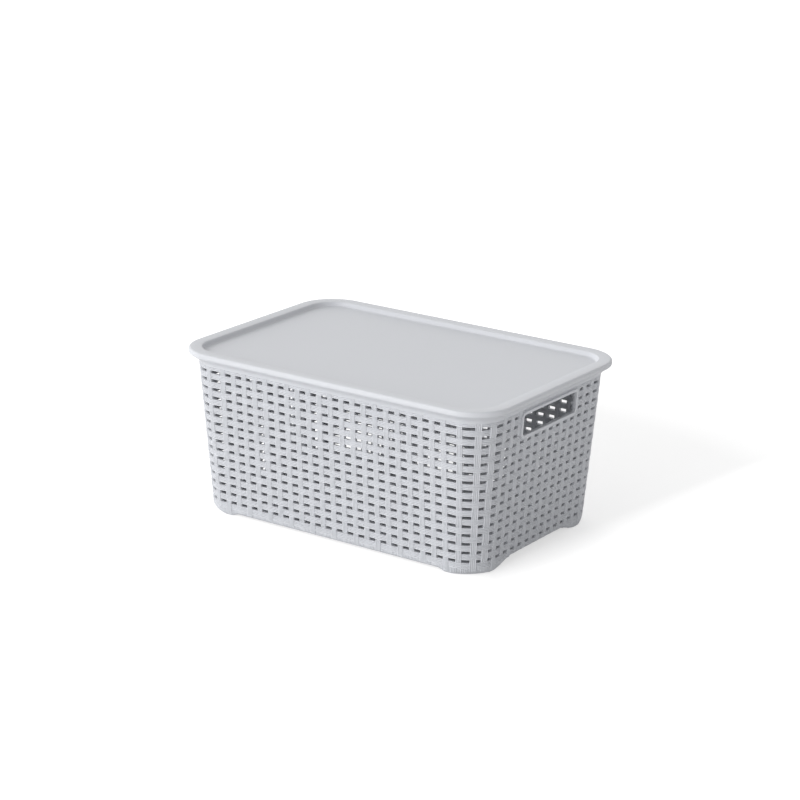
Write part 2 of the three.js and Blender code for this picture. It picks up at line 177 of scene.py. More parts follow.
class WeaveSizes(bpy.types.PropertyGroup):
    """The woven bars of the wall."""

    first_row: length("First row", 150, "Level of the middle of the highest row of holes")
    row_pitch: length("Row pitch", 9.009, "From one row of holes down to the next")
    rows: bpy.props.IntProperty(name="Rows", description="Rows of holes", default=16, min=2)
    stake_pitch: length("Stake pitch", 13, "From one stake to the next along the straight sides")
    long_stakes: bpy.props.IntProperty(
        name="Long stakes", description="Stakes from a long side's middle to its end", default=10, min=1)
    short_stakes: bpy.props.IntProperty(
        name="Short stakes", description="Stakes from a short side's middle to its end", default=5, min=1)
    stake_width: length("Stake width", 6.0, "Width of an upright bar")
    strand_width: length("Strand width", 6.2, "Width of a bar that runs round the box")
    bar_depth: length("Bar depth", 3.8, "Thickness of a bar from its ribs to its back")
    bar_taper: number("Bar taper", 0.1, "How far a bar's back is drawn in on each side, in bar widths")
    ribs: bpy.props.IntProperty(name="Ribs", description="Ribs side by side on a bar", default=4, min=1)
    rib_depth: length("Rib depth", 0.68, "Depth of the grooves between the ribs of a bar")
    groove_width: length("Groove width", 0.72, "Width of the grooves between the ribs of a bar")
    edge_drop: number("Edge drop", 1.4, "How far a bar's edges drop, in depths of its grooves")
    wave_depth: length("Wave depth", 0.23, "Half of the way that a bar moves in and out as it weaves")
    wave_flatness: number("Wave flatness", 1.7, "How long a bar stays level where it crosses another")
    stake_top: length("Stake top", 156.1, "Level at which the stakes end, inside the cove")
    stake_foot: length("Stake foot", 1, "Level to which they are woven, before their ends follow the skirt")
    foot_gap: length("Foot gap", 0.8, "How far above the skirt's edge the stakes end")
    corner_stakes: bpy.props.FloatVectorProperty(
        name="Corner stakes", description="Places of a corner's four stakes, from the end of the long side",
        size=4, default=(0.00445, 0.02344, 0.0394, 0.0564), unit="LENGTH")
    corner_widths: bpy.props.FloatVectorProperty(
        name="Corner widths", description="Widths of the corner's stakes as shares of the others",
        size=4, default=(1, 1.1, 1.18, 1))
    corner_feet: bpy.props.FloatVectorProperty(
        name="Corner stakes' feet", description="The same places in the lowest row of holes",
        size=4, default=(0.00357, 0.02332, 0.0396, 0.0563), unit="LENGTH")


class BaseSizes(bpy.types.PropertyGroup):
    """The floor, and the skirt below it that is arched between the corner feet."""

    floor_underside: length("Underside", 8.2, "Level of the floor's underside")
    floor_top: length("Floor", 10.4, "Level of the floor inside the basket")
    long_arch: length("Long arch", 2.6, "Rise of the skirt's edge under a long side")
    short_arch: length("Short arch", 7, "Rise of the skirt's edge under a short side")
    long_reach: length("Long foot", 4.9, "How far a foot reaches along a long side")
    short_reach: length("Short foot", 1, "How far a foot reaches along a short side")
    long_run: length("Long run", 12.8, "Length over which a long side's arch rises")
    short_run: length("Short run", 37, "Length over which a short side's arch rises")
    side_radius: length("Edge radius", 3.5, "Round of the skirt's edge along the sides")
    corner_radius: length("Corner edge radius", 8, "Round of the skirt's edge at the middle of a corner")
    skirt_rib: length("Skirt rib", 1.8, "From one rib of the skirt to the next")
    skirt_groove: number("Skirt groove", 1.3, "Depth of the skirt's grooves, in depths of the bars' own")
    skirt_sunk: length("Skirt sunk", 0.35, "How far the skirt lies behind the stakes that run over it")
    skirt_top: length("Skirt top", 13.2, "Level at which the skirt ends, behind the lowest strand")
    step_level: length("Step level", 7.5, "Level from which the skirt steps back behind that strand")
    step_run: length("Step run", 1, "Height over which it does so")
    step_depth: length("Step depth", 0.8, "How far it steps back")
    land: length("Land", 5, "Width of the flat edge that the feet stand on")
    land_trim: length("Land trim", 0.3, "How much of that width is lost to the chamfer on its inner corner")
    land_chamfer: length("Land chamfer", 0.4, "Height and width of the chamfer")
    land_slope: length("Land slope", 1.5, "How far the skirt's inner face leans in up to the underside")
    wall: length("Wall", 3.2, "Thickness of the wall")
    fillet: length("Fillet", 2.4, "Round between the wall and the floor inside")


class HandSizes(bpy.types.PropertyGroup):
    """The framed hand holes in the short sides."""

    width: length("Width", 95, "Width of the opening")
    height: length("Height", 21, "Height of the opening")
    level: length("Level", 129.4, "Level of the opening's lower edge")
    corner_radius: length("Corner radius", 3, "Radius of the opening's corners")
    frame_width: length("Frame width", 3, "Width of the raised frame")
    frame_proud: length("Frame proud", 1.4, "How far the frame stands out from the wall")
    frame_depth: length("Frame depth", 1.6, "How far the frame goes into the wall")
    frame_round: length("Frame round", 0.5, "Round of the frame's edges")
    strand_stop: number("Strand stop", 0.65, "How far beside the opening the strands end, in frame widths")
    strand_press: number("Strand press", 1 / 3, "How far below it the next strand is held, in frame widths")
    stake_stop: number("Stake stop", 0.6, "How far below it the stakes end, in frame widths")


class Finish(bpy.types.PropertyGroup):
    """The colours and the surface of the plastic."""

    plastic: colour("Plastic", (0.565, 0.577, 0.606), "Colour of the basket and the lid")
    refraction: number("Refraction", 1.49, "Refractive index of the plastic")
    patches: number("Patches", 22, "Cloudy patches of tone and sheen, counted to the metre")
    darkest: number("Darkest patch", 0.975, "Tone of the darkest patches, as a share of the colour")
    lightest: number("Lightest patch", 1.02, "Tone of the lightest patches, as a share of the colour")
    smoothest: number("Smoothest patch", 0.39, "Roughness of the darkest patches")
    roughest: number("Roughest patch", 0.51, "Roughness of the lightest patches")
    grain: length("Grain", 0.9, "Size of the fine mould grain")
    grain_depth: length("Grain depth", 0.1, "Depth of the mould grain")
    grain_strength: number("Grain strength", 0.12, "How much of that depth shows")
    fibre: length("Fibre", 0.5, "Spacing of the fine fibre lines along the bars")
    fibre_length: length("Fibre length", 40, "Length of the fibre lines")
    fibre_depth: length("Fibre depth", 0.16, "Depth of the fibre lines")
    fibre_strength: number("Fibre strength", 0.45, "How much of that depth shows")


class Studio(bpy.types.PropertyGroup):
    """The lights, the floor and the camera."""

    lens: bpy.props.FloatProperty(
        name="Lens", description="Focal length of the camera", default=115.179, unit="CAMERA")
    sensor_width: bpy.props.FloatProperty(
        name="Sensor width", description="Width of the camera's sensor", default=36, unit="CAMERA")
    camera_place: bpy.props.FloatVectorProperty(
        name="Camera", description="Place of the camera", size=3, default=(1.371572, -1.993696, 0.885142),
        subtype="TRANSLATION", unit="LENGTH")
    camera_yaw: angle("Yaw", -34.498, "Turn of the camera about the upright")
    camera_pitch: angle("Pitch", 17.554, "How far the camera looks down")
    camera_roll: angle("Roll", 0.923, "Tilt of the camera about its own line of sight")
    sky: number("Sky", 0.87, "Strength of the surroundings on the right, level with the box")
    side_sky: number("Side sky", 1.76, "How much stronger they are on the left")
    top_sky: number("Top sky", -0.6, "How much stronger they are overhead, or weaker where below zero")
    key_power: number("Key light", 41, "Power of the soft key light, in watts")
    key_size: length("Key size", 2000, "Side of the soft key light")
    key_way: bpy.props.FloatVectorProperty(
        name="Key direction", description="Direction of the key light, seen from the middle of the box",
        size=3, default=(-0.15, -0.88, 0.32), subtype="DIRECTION")
    key_distance: length("Key distance", 3000, "How far the key light is from the middle of the box")
    floor: colour("Floor", (0.9, 0.9, 0.9), "Colour of the floor")
    floor_size: length("Floor size", 12000, "Side of the floor")
    floor_share: number("Floor share", 0.444, "Share of its own light that the floor shows the camera")
    clear_glow: number("Clear glow", 0.85, "How much the floor is lifted to white for the camera")
    near_glow: number("Near glow", 0.6, "The same under the box and close behind it")
    near_fade: length("Near fade", 50, "Length over which the floor clears beside the box and in front")
    near_reach: length("Near reach", 650, "Distance from the middle at which it is clear behind the box too")
    near_core: number("Near core", 0.62, "Share of that distance at which it starts to clear")


class BoxSettings(bpy.types.PropertyGroup):
    """All that can be set for the box and its studio."""

    body: bpy.props.PointerProperty(type=BodySizes, name="Body", description="Plan and lean of the wall")
    weave: bpy.props.PointerProperty(type=WeaveSizes, name="Weave", description="Woven bars of the wall")
    base: bpy.props.PointerProperty(type=BaseSizes, name="Base", description="Floor, skirt and feet")
    hand: bpy.props.PointerProperty(type=HandSizes, name="Hand holes", description="Framed hand holes")
    finish: bpy.props.PointerProperty(type=Finish, name="Finish", description="Colours and surface")
    studio: bpy.props.PointerProperty(type=Studio, name="Studio", description="Lights, floor and camera")


def settings():
    """The settings of this scene."""
    return bpy.context.scene.rattan_box


class Plan:
    """A rectangle with round corners, walked anticlockwise from the middle of the front long side.

    Its sides and corners are its stretches, numbered from the front: sides are even, corners odd.
    """

    def __init__(self, body):
        self.radius = body.corner_radius
        self.long_half = body.half_length - self.radius
        self.short_half = body.half_width - self.radius
        self.arc = self.radius * math.pi / 2
        self.mesh_top = body.mesh_top
        self.slope = math.tan(body.draft)
        self.drift = body.corner_drift
        self.stretches = np.array([2 * self.long_half, self.arc, 2 * self.short_half, self.arc] * 2)
        self.ends = np.cumsum(self.stretches)
        self.around = self.ends[-1]

    def lean(self, levels):
        """How far out the wall stands at these levels, against the top of its mesh."""
        return (np.asarray(levels) - self.mesh_top) * self.slope

    def stretch_of(self, stations):
        """The number of the side or corner that each station lies in, and the way into it."""
        along = np.mod(np.asarray(stations, dtype=float) + self.long_half, self.around)
        stretch = np.minimum(np.searchsorted(self.ends, along, side="right"), len(self.ends) - 1)
        return stretch, along - (self.ends - self.stretches)[stretch]

    def turn(self, stations):
        """How far round its corner each station lies, from zero to a right angle."""
        stretch, into = self.stretch_of(stations)
        return np.where(stretch % 2 == 1, into / self.radius, 0.0)

    def place(self, stations, offsets, levels, across=0.0):
        """Points at these stations, offsets out from the plan, levels, and ways straight across."""
        stretch, into = self.stretch_of(stations)
        side = stretch // 2
        half = np.where(side % 2 == 0, self.long_half, self.short_half)
        stand = np.where(side % 2 == 0, self.short_half, self.long_half)
        in_corner = stretch % 2 == 1
        # Below the top of the mesh the corner centres draw in, and the sides get shorter with them
        drawn_in = self.drift * np.minimum(self.lean(levels), 0)
        run = np.where(in_corner, half, into - half) * (half + drawn_in) / half
        stand = stand + drawn_in
        side_way = (side - 1) * (math.pi / 2)
        way = side_way + np.where(in_corner, into / self.radius, 0.0)
        reach = self.radius + offsets - drawn_in
        x = np.cos(side_way) * stand - np.sin(side_way) * run + np.cos(way) * reach - np.sin(way) * across
        y = np.sin(side_way) * stand + np.cos(side_way) * run + np.sin(way) * reach + np.cos(way) * across
        return np.stack(np.broadcast_arrays(x, y, levels), axis=-1)

    def upright(self, ways, levels):
        """The stations of points that lie so far along the wall at the top of the mesh, and straight below.

        Each quarter is measured from the middle of its side: the side's own part is stretched as the
        side gets shorter, and the rest is pressed together into the corner.
        """
        drawn_in = self.drift * np.minimum(self.lean(levels), 0)
        quarter = self.around / 4
        index = np.floor(np.mod(ways, self.around) / quarter).astype(int) % 4
        into = np.mod(ways, self.around) - index * quarter
        from_long = index % 2 == 0
        first = np.where(from_long, self.long_half, self.short_half)
        last = np.where(from_long, self.short_half, self.long_half)
        first_end, last_start = first + drawn_in, first + self.arc - drawn_in
        on_first = into * first / (first + drawn_in)
        on_last = quarter - (quarter - into) * last / (last + drawn_in)
        turned = first + self.arc * (into - first_end) / (last_start - first_end)
        station = np.where(into < first_end, on_first, np.where(into > last_start, on_last, turned))
        return station + index * quarter

    def stations(self, side_step, corner_steps):
        """Stations all round: even steps along each side, and so many in each corner."""
        parts = []
        start = -self.long_half
        for index, stretch in enumerate(self.stretches):
            steps = corner_steps if index % 2 else max(1, round(stretch / side_step))
            parts.append(start + stretch * np.arange(steps) / steps)
            start += stretch
        return np.concatenate(parts)


def loft(rings, cap_first=False, cap_last=False, closed=False):
    """Points and faces of a skin over rings. They run anticlockwise, and go up on the outside."""
    rings = np.asarray(rings)
    count, around = rings.shape[:2]
    index = np.arange(count * around).reshape(count, around)
    lower = index if closed else index[:-1]
    upper = np.roll(index, -1, axis=0) if closed else index[1:]
    quads = np.stack((lower, np.roll(lower, -1, axis=1), np.roll(upper, -1, axis=1), upper), axis=-1)
    faces = quads.reshape(-1, 4).tolist()
    if cap_first:
        faces.append(index[0, ::-1].tolist())
    if cap_last:
        faces.append(index[-1].tolist())
    return rings.reshape(-1, 3), faces


def new_mesh(name, points, faces):
    """A mesh of these points and faces."""
    mesh = bpy.data.meshes.new(name)
    mesh.from_pydata(np.asarray(points).tolist(), [], faces)
    mesh.update()
    return mesh


def new_object(name, data):
    """An object of this mesh, lamp or camera at the origin."""
    made = bpy.data.objects.new(name, data)
    bpy.context.scene.collection.objects.link(made)
    return made


def joined(parts):
    """One set of points and faces out of several."""
    points = np.concatenate([part[0] for part in parts])
    starts = np.cumsum([0] + [len(part[0]) for part in parts])
    faces = [[corner + start for corner in face] for part, start in zip(parts, starts) for face in part[1]]
    return points, faces


def finish_piece(name, mesh, material, node, crease=SMOOTH_CREASE):
    """Shades a piece, gives it its material, and sets it on the frame in the place of its node."""
    mesh.name = name
    mesh.materials.clear()
    mesh.materials.append(material)
    mesh.shade_smooth()
    mesh.set_sharp_from_angle(angle=math.radians(crease))
    piece = new_object(name, mesh)
    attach(piece, node)
    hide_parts(node)


def link(tree, *sockets):
    """Links sockets in pairs."""
    for source, target in zip(sockets[::2], sockets[1::2]):
        tree.links.new(source, target)


def worked_out(tree, operation, *values):
    """The result of a sum on numbers or sockets."""
    node = tree.nodes.new("ShaderNodeMath")
    node.operation = operation
    for socket, value in zip(node.inputs, values):
        if isinstance(value, bpy.types.NodeSocket):
            tree.links.new(value, socket)
        else:
            socket.default_value = value
    return node.outputs[0]


def way_along(tree, place, direction):
    """How far a place, or a view, lies along a direction."""
    node = tree.nodes.new("ShaderNodeVectorMath")
    node.operation = "DOT_PRODUCT"
    node.inputs[1].default_value = direction
    tree.links.new(place, node.inputs[0])
    return node.outputs["Value"]


def mapped(tree, value, source, target):
    """A value taken from one range to another, and held at its ends."""
    node = tree.nodes.new("ShaderNodeMapRange")
    for name, limit in zip(("From Min", "From Max", "To Min", "To Max"), (*source, *target)):
        node.inputs[name].default_value = limit
    tree.links.new(value, node.inputs["Value"])
    return node.outputs["Result"]


def toned(tree, share, paint, first, last):
    """A colour that goes from one share of a paint's brightness to another."""
    node = tree.nodes.new("ShaderNodeMix")
    node.data_type = "RGBA"
    node.inputs["A"].default_value = (*[first * part for part in paint], 1)
    node.inputs["B"].default_value = (*[last * part for part in paint], 1)
    tree.links.new(share, node.inputs["Factor"])
    return node.outputs["Result"]


def noise(tree, place, scale, detail):
    """Noise over the surface."""
    node = tree.nodes.new("ShaderNodeTexNoise")
    node.inputs["Scale"].default_value = scale
    node.inputs["Detail"].default_value = detail
    tree.links.new(place, node.inputs["Vector"])
    return node.outputs["Fac"]


def bump(tree, height, strength, depth, under=None):
    """A surface that rises and falls with a height, and with another such surface under it."""
    node = tree.nodes.new("ShaderNodeBump")
    node.inputs["Strength"].default_value = strength
    node.inputs["Distance"].default_value = depth
    tree.links.new(height, node.inputs["Height"])
    if under is not None:
        tree.links.new(under, node.inputs["Normal"])
    return node.outputs["Normal"]


def plastic(name, stretch=None):
    """The moulded plastic: a soft sheen, a fine mould grain, and on a bar fine lines along its fibres.

    stretch is how fine the fibre lines are along each axis, in lines to the metre.
    """
    finish = settings().finish
    material = bpy.data.materials.new(name)
    material.use_nodes = True
    tree = material.node_tree
    shader = tree.nodes["Principled BSDF"]
    shader.inputs["Base Color"].default_value = (*finish.plastic, 1)
    shader.inputs["IOR"].default_value = finish.refraction
    place = tree.nodes.new("ShaderNodeTexCoord").outputs["Object"]

    patches = noise(tree, place, finish.patches, PATCH_DETAIL)
    sheen = mapped(tree, patches, (0, 1), (finish.smoothest, finish.roughest))
    tone = toned(tree, patches, finish.plastic, finish.darkest, finish.lightest)
    grain = noise(tree, place, 1 / finish.grain, FINE_DETAIL)
    surface = bump(tree, grain, finish.grain_strength, finish.grain_depth)
    if stretch is not None:
        drawn = tree.nodes.new("ShaderNodeMapping")
        drawn.inputs["Scale"].default_value = stretch
        tree.links.new(place, drawn.inputs["Vector"])
        fibre = noise(tree, drawn.outputs["Vector"], 1, FINE_DETAIL)
        surface = bump(tree, fibre, finish.fibre_strength, finish.fibre_depth, under=surface)
    link(tree,
         sheen, shader.inputs["Roughness"],
         tone, shader.inputs["Base Color"],
         surface, shader.inputs["Normal"])
    return material


def bar(width, first, last, steps, closed=False):
    """A flat ribbed bar along X, its ribs up, with rings at even steps from first to last."""
    weave = settings().weave
    groove = weave.groove_width / 2
    drop = weave.edge_drop * weave.rib_depth
    outer = [(-width / 2, -drop), (-width / 2 + groove, 0)]
    for rib in range(1, weave.ribs):
        middle = width * (rib / weave.ribs - 0.5)
        outer += [(middle - groove, 0), (middle, -weave.rib_depth), (middle + groove, 0)]
    outer += [(width / 2 - groove, 0), (width / 2, -drop)]
    back_half = width / 2 - weave.bar_taper * width
    section = np.array([(-back_half, -weave.bar_depth), (back_half, -weave.bar_depth)] + outer[::-1])
    count = steps if closed else steps + 1
    rings = np.empty((count, len(section), 3))
    rings[:, :, 0] = first + (last - first) * np.arange(count)[:, None] / steps
    rings[:, :, 1:] = section
    return loft(rings, cap_first=not closed, cap_last=not closed, closed=closed)


def woven_tree():
    """Sets a bar on every mark and waves it in and out, one way at even crossings and back at odd.

    Past its last crossing a bar runs on as it stood there.
    """
    tree = bpy.data.node_groups.new("woven bars", "GeometryNodeTree")
    tree.is_modifier = True
    inputs = (
        ("Marks", "NodeSocketGeometry"), ("Bar", "NodeSocketObject"), ("Crossing Pitch", "NodeSocketFloat"),
        ("Last Crossing", "NodeSocketFloat"), ("Wave Depth", "NodeSocketFloat"),
        ("Wave Flatness", "NodeSocketFloat"), ("Material", "NodeSocketMaterial"),
    )
    for name, kind in inputs:
        tree.interface.new_socket(name, in_out="INPUT", socket_type=kind)
    tree.interface.new_socket("Bars", in_out="OUTPUT", socket_type="NodeSocketGeometry")
    nodes = tree.nodes
    given = nodes.new("NodeGroupInput")
    bar_info = nodes.new("GeometryNodeObjectInfo")
    on_marks = nodes.new("GeometryNodeInstanceOnPoints")
    realize = nodes.new("GeometryNodeRealizeInstances")
    phase = nodes.new("GeometryNodeInputNamedAttribute")
    phase.data_type = "FLOAT"
    phase.inputs["Name"].default_value = "phase"
    position = nodes.new("GeometryNodeInputPosition")
    apart = nodes.new("ShaderNodeSeparateXYZ")
    link(tree,
         given.outputs["Bar"], bar_info.inputs["Object"],
         given.outputs["Marks"], on_marks.inputs["Points"],
         bar_info.outputs["Geometry"], on_marks.inputs["Instance"],
         on_marks.outputs["Instances"], realize.inputs["Geometry"],
         position.outputs["Position"], apart.inputs["Vector"])

    # Where a point lies along its bar, counted in crossings
    crossing = worked_out(tree, "DIVIDE", apart.outputs["X"], given.outputs["Crossing Pitch"])
    crossing = worked_out(tree, "MINIMUM", crossing, given.outputs["Last Crossing"])
    crossing = worked_out(tree, "ADD", crossing, phase.outputs["Attribute"])
    # The wave swings over at one crossing and under at the next, and is cut flat at both
    swing = worked_out(tree, "COSINE", worked_out(tree, "MULTIPLY", crossing, math.pi))
    swing = worked_out(tree, "MULTIPLY", swing, given.outputs["Wave Flatness"])
    swing = worked_out(tree, "MAXIMUM", worked_out(tree, "MINIMUM", swing, 1), -1)
    behind = worked_out(tree, "SUBTRACT", swing, 1)
    rise = worked_out(tree, "MULTIPLY", behind, given.outputs["Wave Depth"])
    offset = nodes.new("ShaderNodeCombineXYZ")
    move = nodes.new("GeometryNodeSetPosition")
    paint = nodes.new("GeometryNodeSetMaterial")
    result = nodes.new("NodeGroupOutput")
    link(tree,
         rise, offset.inputs["Z"],
         realize.outputs["Geometry"], move.inputs["Geometry"],
         offset.outputs["Vector"], move.inputs["Offset"],
         move.outputs["Geometry"], paint.inputs["Geometry"],
         given.outputs["Material"], paint.inputs["Material"],
         paint.outputs["Geometry"], result.inputs["Bars"])
    return tree


def woven(tree, bar_parts, marks, phases, pitch, crossings, material):
    """The waved bars as a plain flat mesh, whose points keep the phase of their mark."""
    weave = settings().weave
    bar_object = new_object("bar", new_mesh("bar", *bar_parts))
    marks_mesh = new_mesh("marks", marks, [])
    marks_mesh.attributes.new("phase", "FLOAT", "POINT").data.foreach_set("value", np.float32(phases))
    holder = new_object("marks", marks_mesh)
    modifier = holder.modifiers.new("woven bars", "NODES")
    modifier.node_group = tree
    values = {
        "Bar": bar_object, "Crossing Pitch": pitch, "Last Crossing": crossings - 1.0,
        "Wave Depth": weave.wave_depth, "Wave Flatness": weave.wave_flatness, "Material": material,
    }
    for socket in tree.interface.items_tree:
        if socket.in_out == "INPUT" and socket.name in values:
            modifier[socket.identifier] = values[socket.name]
    bpy.context.view_layer.update()
    depsgraph = bpy.context.evaluated_depsgraph_get()
    mesh = bpy.data.meshes.new_from_object(
        holder.evaluated_get(depsgraph), preserve_all_data_layers=True, depsgraph=depsgraph)
    holder.modifiers.clear()
    bpy.data.objects.remove(holder)
    bpy.data.objects.remove(bar_object)
    return mesh


def points_of(mesh):
    """The points of a mesh as rows."""
    flat = np.empty(len(mesh.vertices) * 3, dtype=np.float32)
    mesh.vertices.foreach_get("co", flat)
    return flat.reshape(-1, 3).astype(float)


def phases_of(mesh):
    """The phase that each point of a woven mesh was given by its mark."""
    phases = np.empty(len(mesh.vertices), dtype=np.float32)
    mesh.attributes["phase"].data.foreach_get("value", phases)
    return np.rint(phases).astype(int)


def faces_of(mesh):
    """The faces of a mesh as lists of corners."""
    return [list(face.vertices) for face in mesh.polygons]


def skirt_level(plan, base, stations):
    """The level of the skirt's edge: on the ground at the corners, arched along the sides."""
    stretch, into = plan.stretch_of(stations)
    on_long = stretch % 4 == 0
    side_length = plan.stretches[stretch]
    depth = np.minimum(into, side_length - into)
    reach = np.where(on_long, base.long_reach, base.short_reach)
    run = np.where(on_long, base.long_run, base.short_run)
    rise = np.where(on_long, base.long_arch, base.short_arch)
    share = np.clip((depth - reach) / run, 0, 1)
    return np.where(stretch % 2 == 1, 0.0, rise * share * share * (3 - 2 * share))


def edge_radius(plan, base, stations):
    """The round of the skirt's edge: small along the sides, large at the corners."""
    bulge = np.sin(2 * plan.turn(stations))
    return base.side_radius + (base.corner_radius - base.side_radius) * bulge


def tuck(plan, base, stations, levels):
    """How far the rounded edge of the skirt draws the wall in at these levels."""
    radius = edge_radius(plan, base, stations)
    short = np.clip(radius - (levels - skirt_level(plan, base, stations)), 0, radius)
    return radius - np.sqrt(radius * radius - short * short)


def on_wall(plan, base, stations, levels, proud, across=0.0):
    """Points that stand so far proud of the wall, which is drawn in round its lower edge."""
    offsets = plan.lean(levels) + proud - tuck(plan, base, stations, levels)
    return plan.place(stations, offsets, levels, across)


class Weave:
    """Where the stakes and the strands of the wall stand."""

    def __init__(self, plan, weave):
        self.plan = plan
        self.pitch = weave.stake_pitch
        self.long_stakes = weave.long_stakes
        self.short_stakes = weave.short_stakes
        self.row_pitch = weave.row_pitch
        self.first_row = weave.first_row
        self.last_row = weave.first_row - (weave.rows - 1) * weave.row_pitch
        self.top_strand = weave.first_row + weave.row_pitch / 2
        self.strands = weave.rows + 1
        self.tops = self.all_round(weave.corner_stakes)
        self.feet = self.all_round(weave.corner_feet)
        long_widths, short_widths = np.ones(self.long_stakes + 1), np.ones(self.short_stakes + 1)
        quarter = np.concatenate((long_widths, weave.corner_widths, short_widths))
        half = np.concatenate((quarter, quarter[-2::-1]))
        self.widths = np.concatenate((half, half[1:-1]))
        self.stakes = len(self.tops)
        self.hand_crossing = self.stakes // 4

    def all_round(self, corner):
        """The stakes' stations all round, from those of the corner that follows the front."""
        plan = self.plan
        on_long = np.arange(self.long_stakes + 1) * self.pitch
        in_corner = plan.long_half + np.array(corner)
        from_middle = np.arange(self.short_stakes, -1, -1) * self.pitch
        on_short = plan.around / 4 - from_middle
        quarter = np.concatenate((on_long, in_corner, on_short))
        half = np.concatenate((quarter, plan.around / 2 - quarter[-2::-1]))
        return np.concatenate((half, half[1:-1] + plan.around / 2))

    def station(self, crossings, levels):
        """The station of a crossing, counted in stakes from the front's middle, at a level.

        The sides get shorter downwards while the stakes on them stay upright, so those near a
        side's end come to stand further along it, and the stakes of the corner draw closer.
        """
        index = np.arange(self.stakes + 1)
        crossings = np.mod(crossings, self.stakes)
        tops = np.interp(crossings, index, np.append(self.tops, self.plan.around))
        feet = np.interp(crossings, index, np.append(self.feet, self.plan.around))
        share = (self.first_row - levels) / (self.first_row - self.last_row)
        return self.plan.upright(tops + (feet - tops) * share, levels)

    def strand_level(self, strand):
        """The level of the middle of a strand."""
        return self.top_strand - strand * self.row_pitch


class RATTAN_OT_strands(bpy.types.Operator):
    """Weave the strands that run round the wall"""

    bl_idname = "rattan.strands"
    bl_label = "Strands"

    def execute(self, context):
        box = settings()
        plan = Plan(box.body)
        weave = Weave(plan, box.weave)
        hand = box.hand
        finish = box.finish
        stretch = (1 / finish.fibre_length, 1 / finish.fibre_length, 1 / finish.fibre)
        material = plastic("cane strands", stretch)
        tree = woven_tree()

        frame_reach = hand.width / 2 + hand.strand_stop * hand.frame_width
        hand_top = hand.level + hand.height
        # The strands that meet a hand hole are cut, and the others run all round
        numbers = range(weave.strands)
        cut = [strand for strand in numbers if hand.level < weave.strand_level(strand) < hand_top]
        whole = [strand for strand in numbers if strand not in cut]
        width = box.weave.strand_width
        ring = bar(width, 0, weave.stakes * weave.pitch, weave.stakes * BAR_STEPS, closed=True)
        ring_marks = [(0, weave.strand_level(strand), 0) for strand in whole]
        cut_reach = frame_reach / weave.pitch
        cut_length = (weave.stakes / 2 - 2 * cut_reach) * weave.pitch
        cut_bar = bar(width, 0, cut_length, round(cut_length / weave.pitch * BAR_STEPS))
        hands = (weave.hand_crossing, 3 * weave.hand_crossing)
        starts = [(crossing + cut_reach) * weave.pitch for crossing in hands]
        cut_marks = [(start, weave.strand_level(strand), 0) for start in starts for strand in cut]

        made = []
        for bar_parts, marks, strands in ((ring, ring_marks, whole), (cut_bar, cut_marks, cut + cut)):
            phases = np.array(strands) + 1
            part = woven(tree, bar_parts, marks, phases, weave.pitch, 2 * weave.stakes, material)
            points = points_of(part)
            levels = points[:, 1]
            stations = weave.station(points[:, 0] / weave.pitch, levels)
            placed = on_wall(plan, box.base, stations, levels, points[:, 2])
            # The strand under a hand hole is held down, out of the opening
            near_frame = (np.abs(placed[:, 1]) < frame_reach) & (np.abs(placed[:, 0]) > plan.long_half)
            below = near_frame & (levels < hand.level + hand.height / 2)
            held_at = hand.level - hand.strand_press * hand.frame_width
            placed[below, 2] = np.minimum(placed[below, 2], held_at)
            made.append((placed, faces_of(part)))
        mesh = new_mesh("strands", *joined(made))
        finish_piece("strands", mesh, material, "basket", BAR_CREASE)
        return {"FINISHED"}


class RATTAN_OT_stakes(bpy.types.Operator):
    """Weave the upright stakes of the wall"""

    bl_idname = "rattan.stakes"
    bl_label = "Stakes"

    def execute(self, context):
        box = settings()
        plan = Plan(box.body)
        weave = Weave(plan, box.weave)
        hand = box.hand
        finish = box.finish
        stretch = (1 / finish.fibre, 1 / finish.fibre, 1 / finish.fibre_length)
        material = plastic("cane stakes", stretch)
        tree = woven_tree()

        foot = box.weave.stake_foot
        bend = box.base.floor_top
        under_frame = hand.level - hand.stake_stop * hand.frame_width

        # The stakes that meet a hand hole are cut, and the others reach up into the cove
        stakes = np.arange(weave.stakes)
        from_hand = np.abs(stakes % (2 * weave.hand_crossing) - weave.hand_crossing)
        cut = from_hand < hand.width / 2 / weave.pitch

        made = []
        for chosen, top in ((stakes[~cut], box.weave.stake_top), (stakes[cut], under_frame)):
            steps = round((top - foot) / weave.row_pitch * BAR_STEPS)
            bar_parts = bar(box.weave.stake_width, weave.top_strand - top, weave.top_strand - foot, steps)
            marks = [(0, stake * weave.pitch, 0) for stake in chosen]
            part = woven(tree, bar_parts, marks, chosen, weave.row_pitch, weave.strands, material)
            points = points_of(part)
            numbers = phases_of(part)
            levels = weave.top_strand - points[:, 0]
            stations = weave.station(numbers, levels)
            # Below the floor the stakes are pressed together, so that they end along the skirt's arches
            end = skirt_level(plan, box.base, stations) + box.weave.foot_gap
            share = np.clip((bend - levels) / (bend - foot), 0, 1)
            levels = np.where(levels < bend, bend - (bend - end) * share, levels)
            across = (points[:, 1] - numbers * weave.pitch) * weave.widths[numbers]
            made.append((on_wall(plan, box.base, stations, levels, points[:, 2], across), faces_of(part)))
        mesh = new_mesh("stakes", *joined(made))
        finish_piece("stakes", mesh, material, "basket", BAR_CREASE)
        return {"FINISHED"}


def rings_round(plan, stations, profile):
    """A ring of points for each offset and level of a profile, given in millimetres."""
    return [plan.place(stations, offset / 1000, level / 1000) for offset, level in profile]


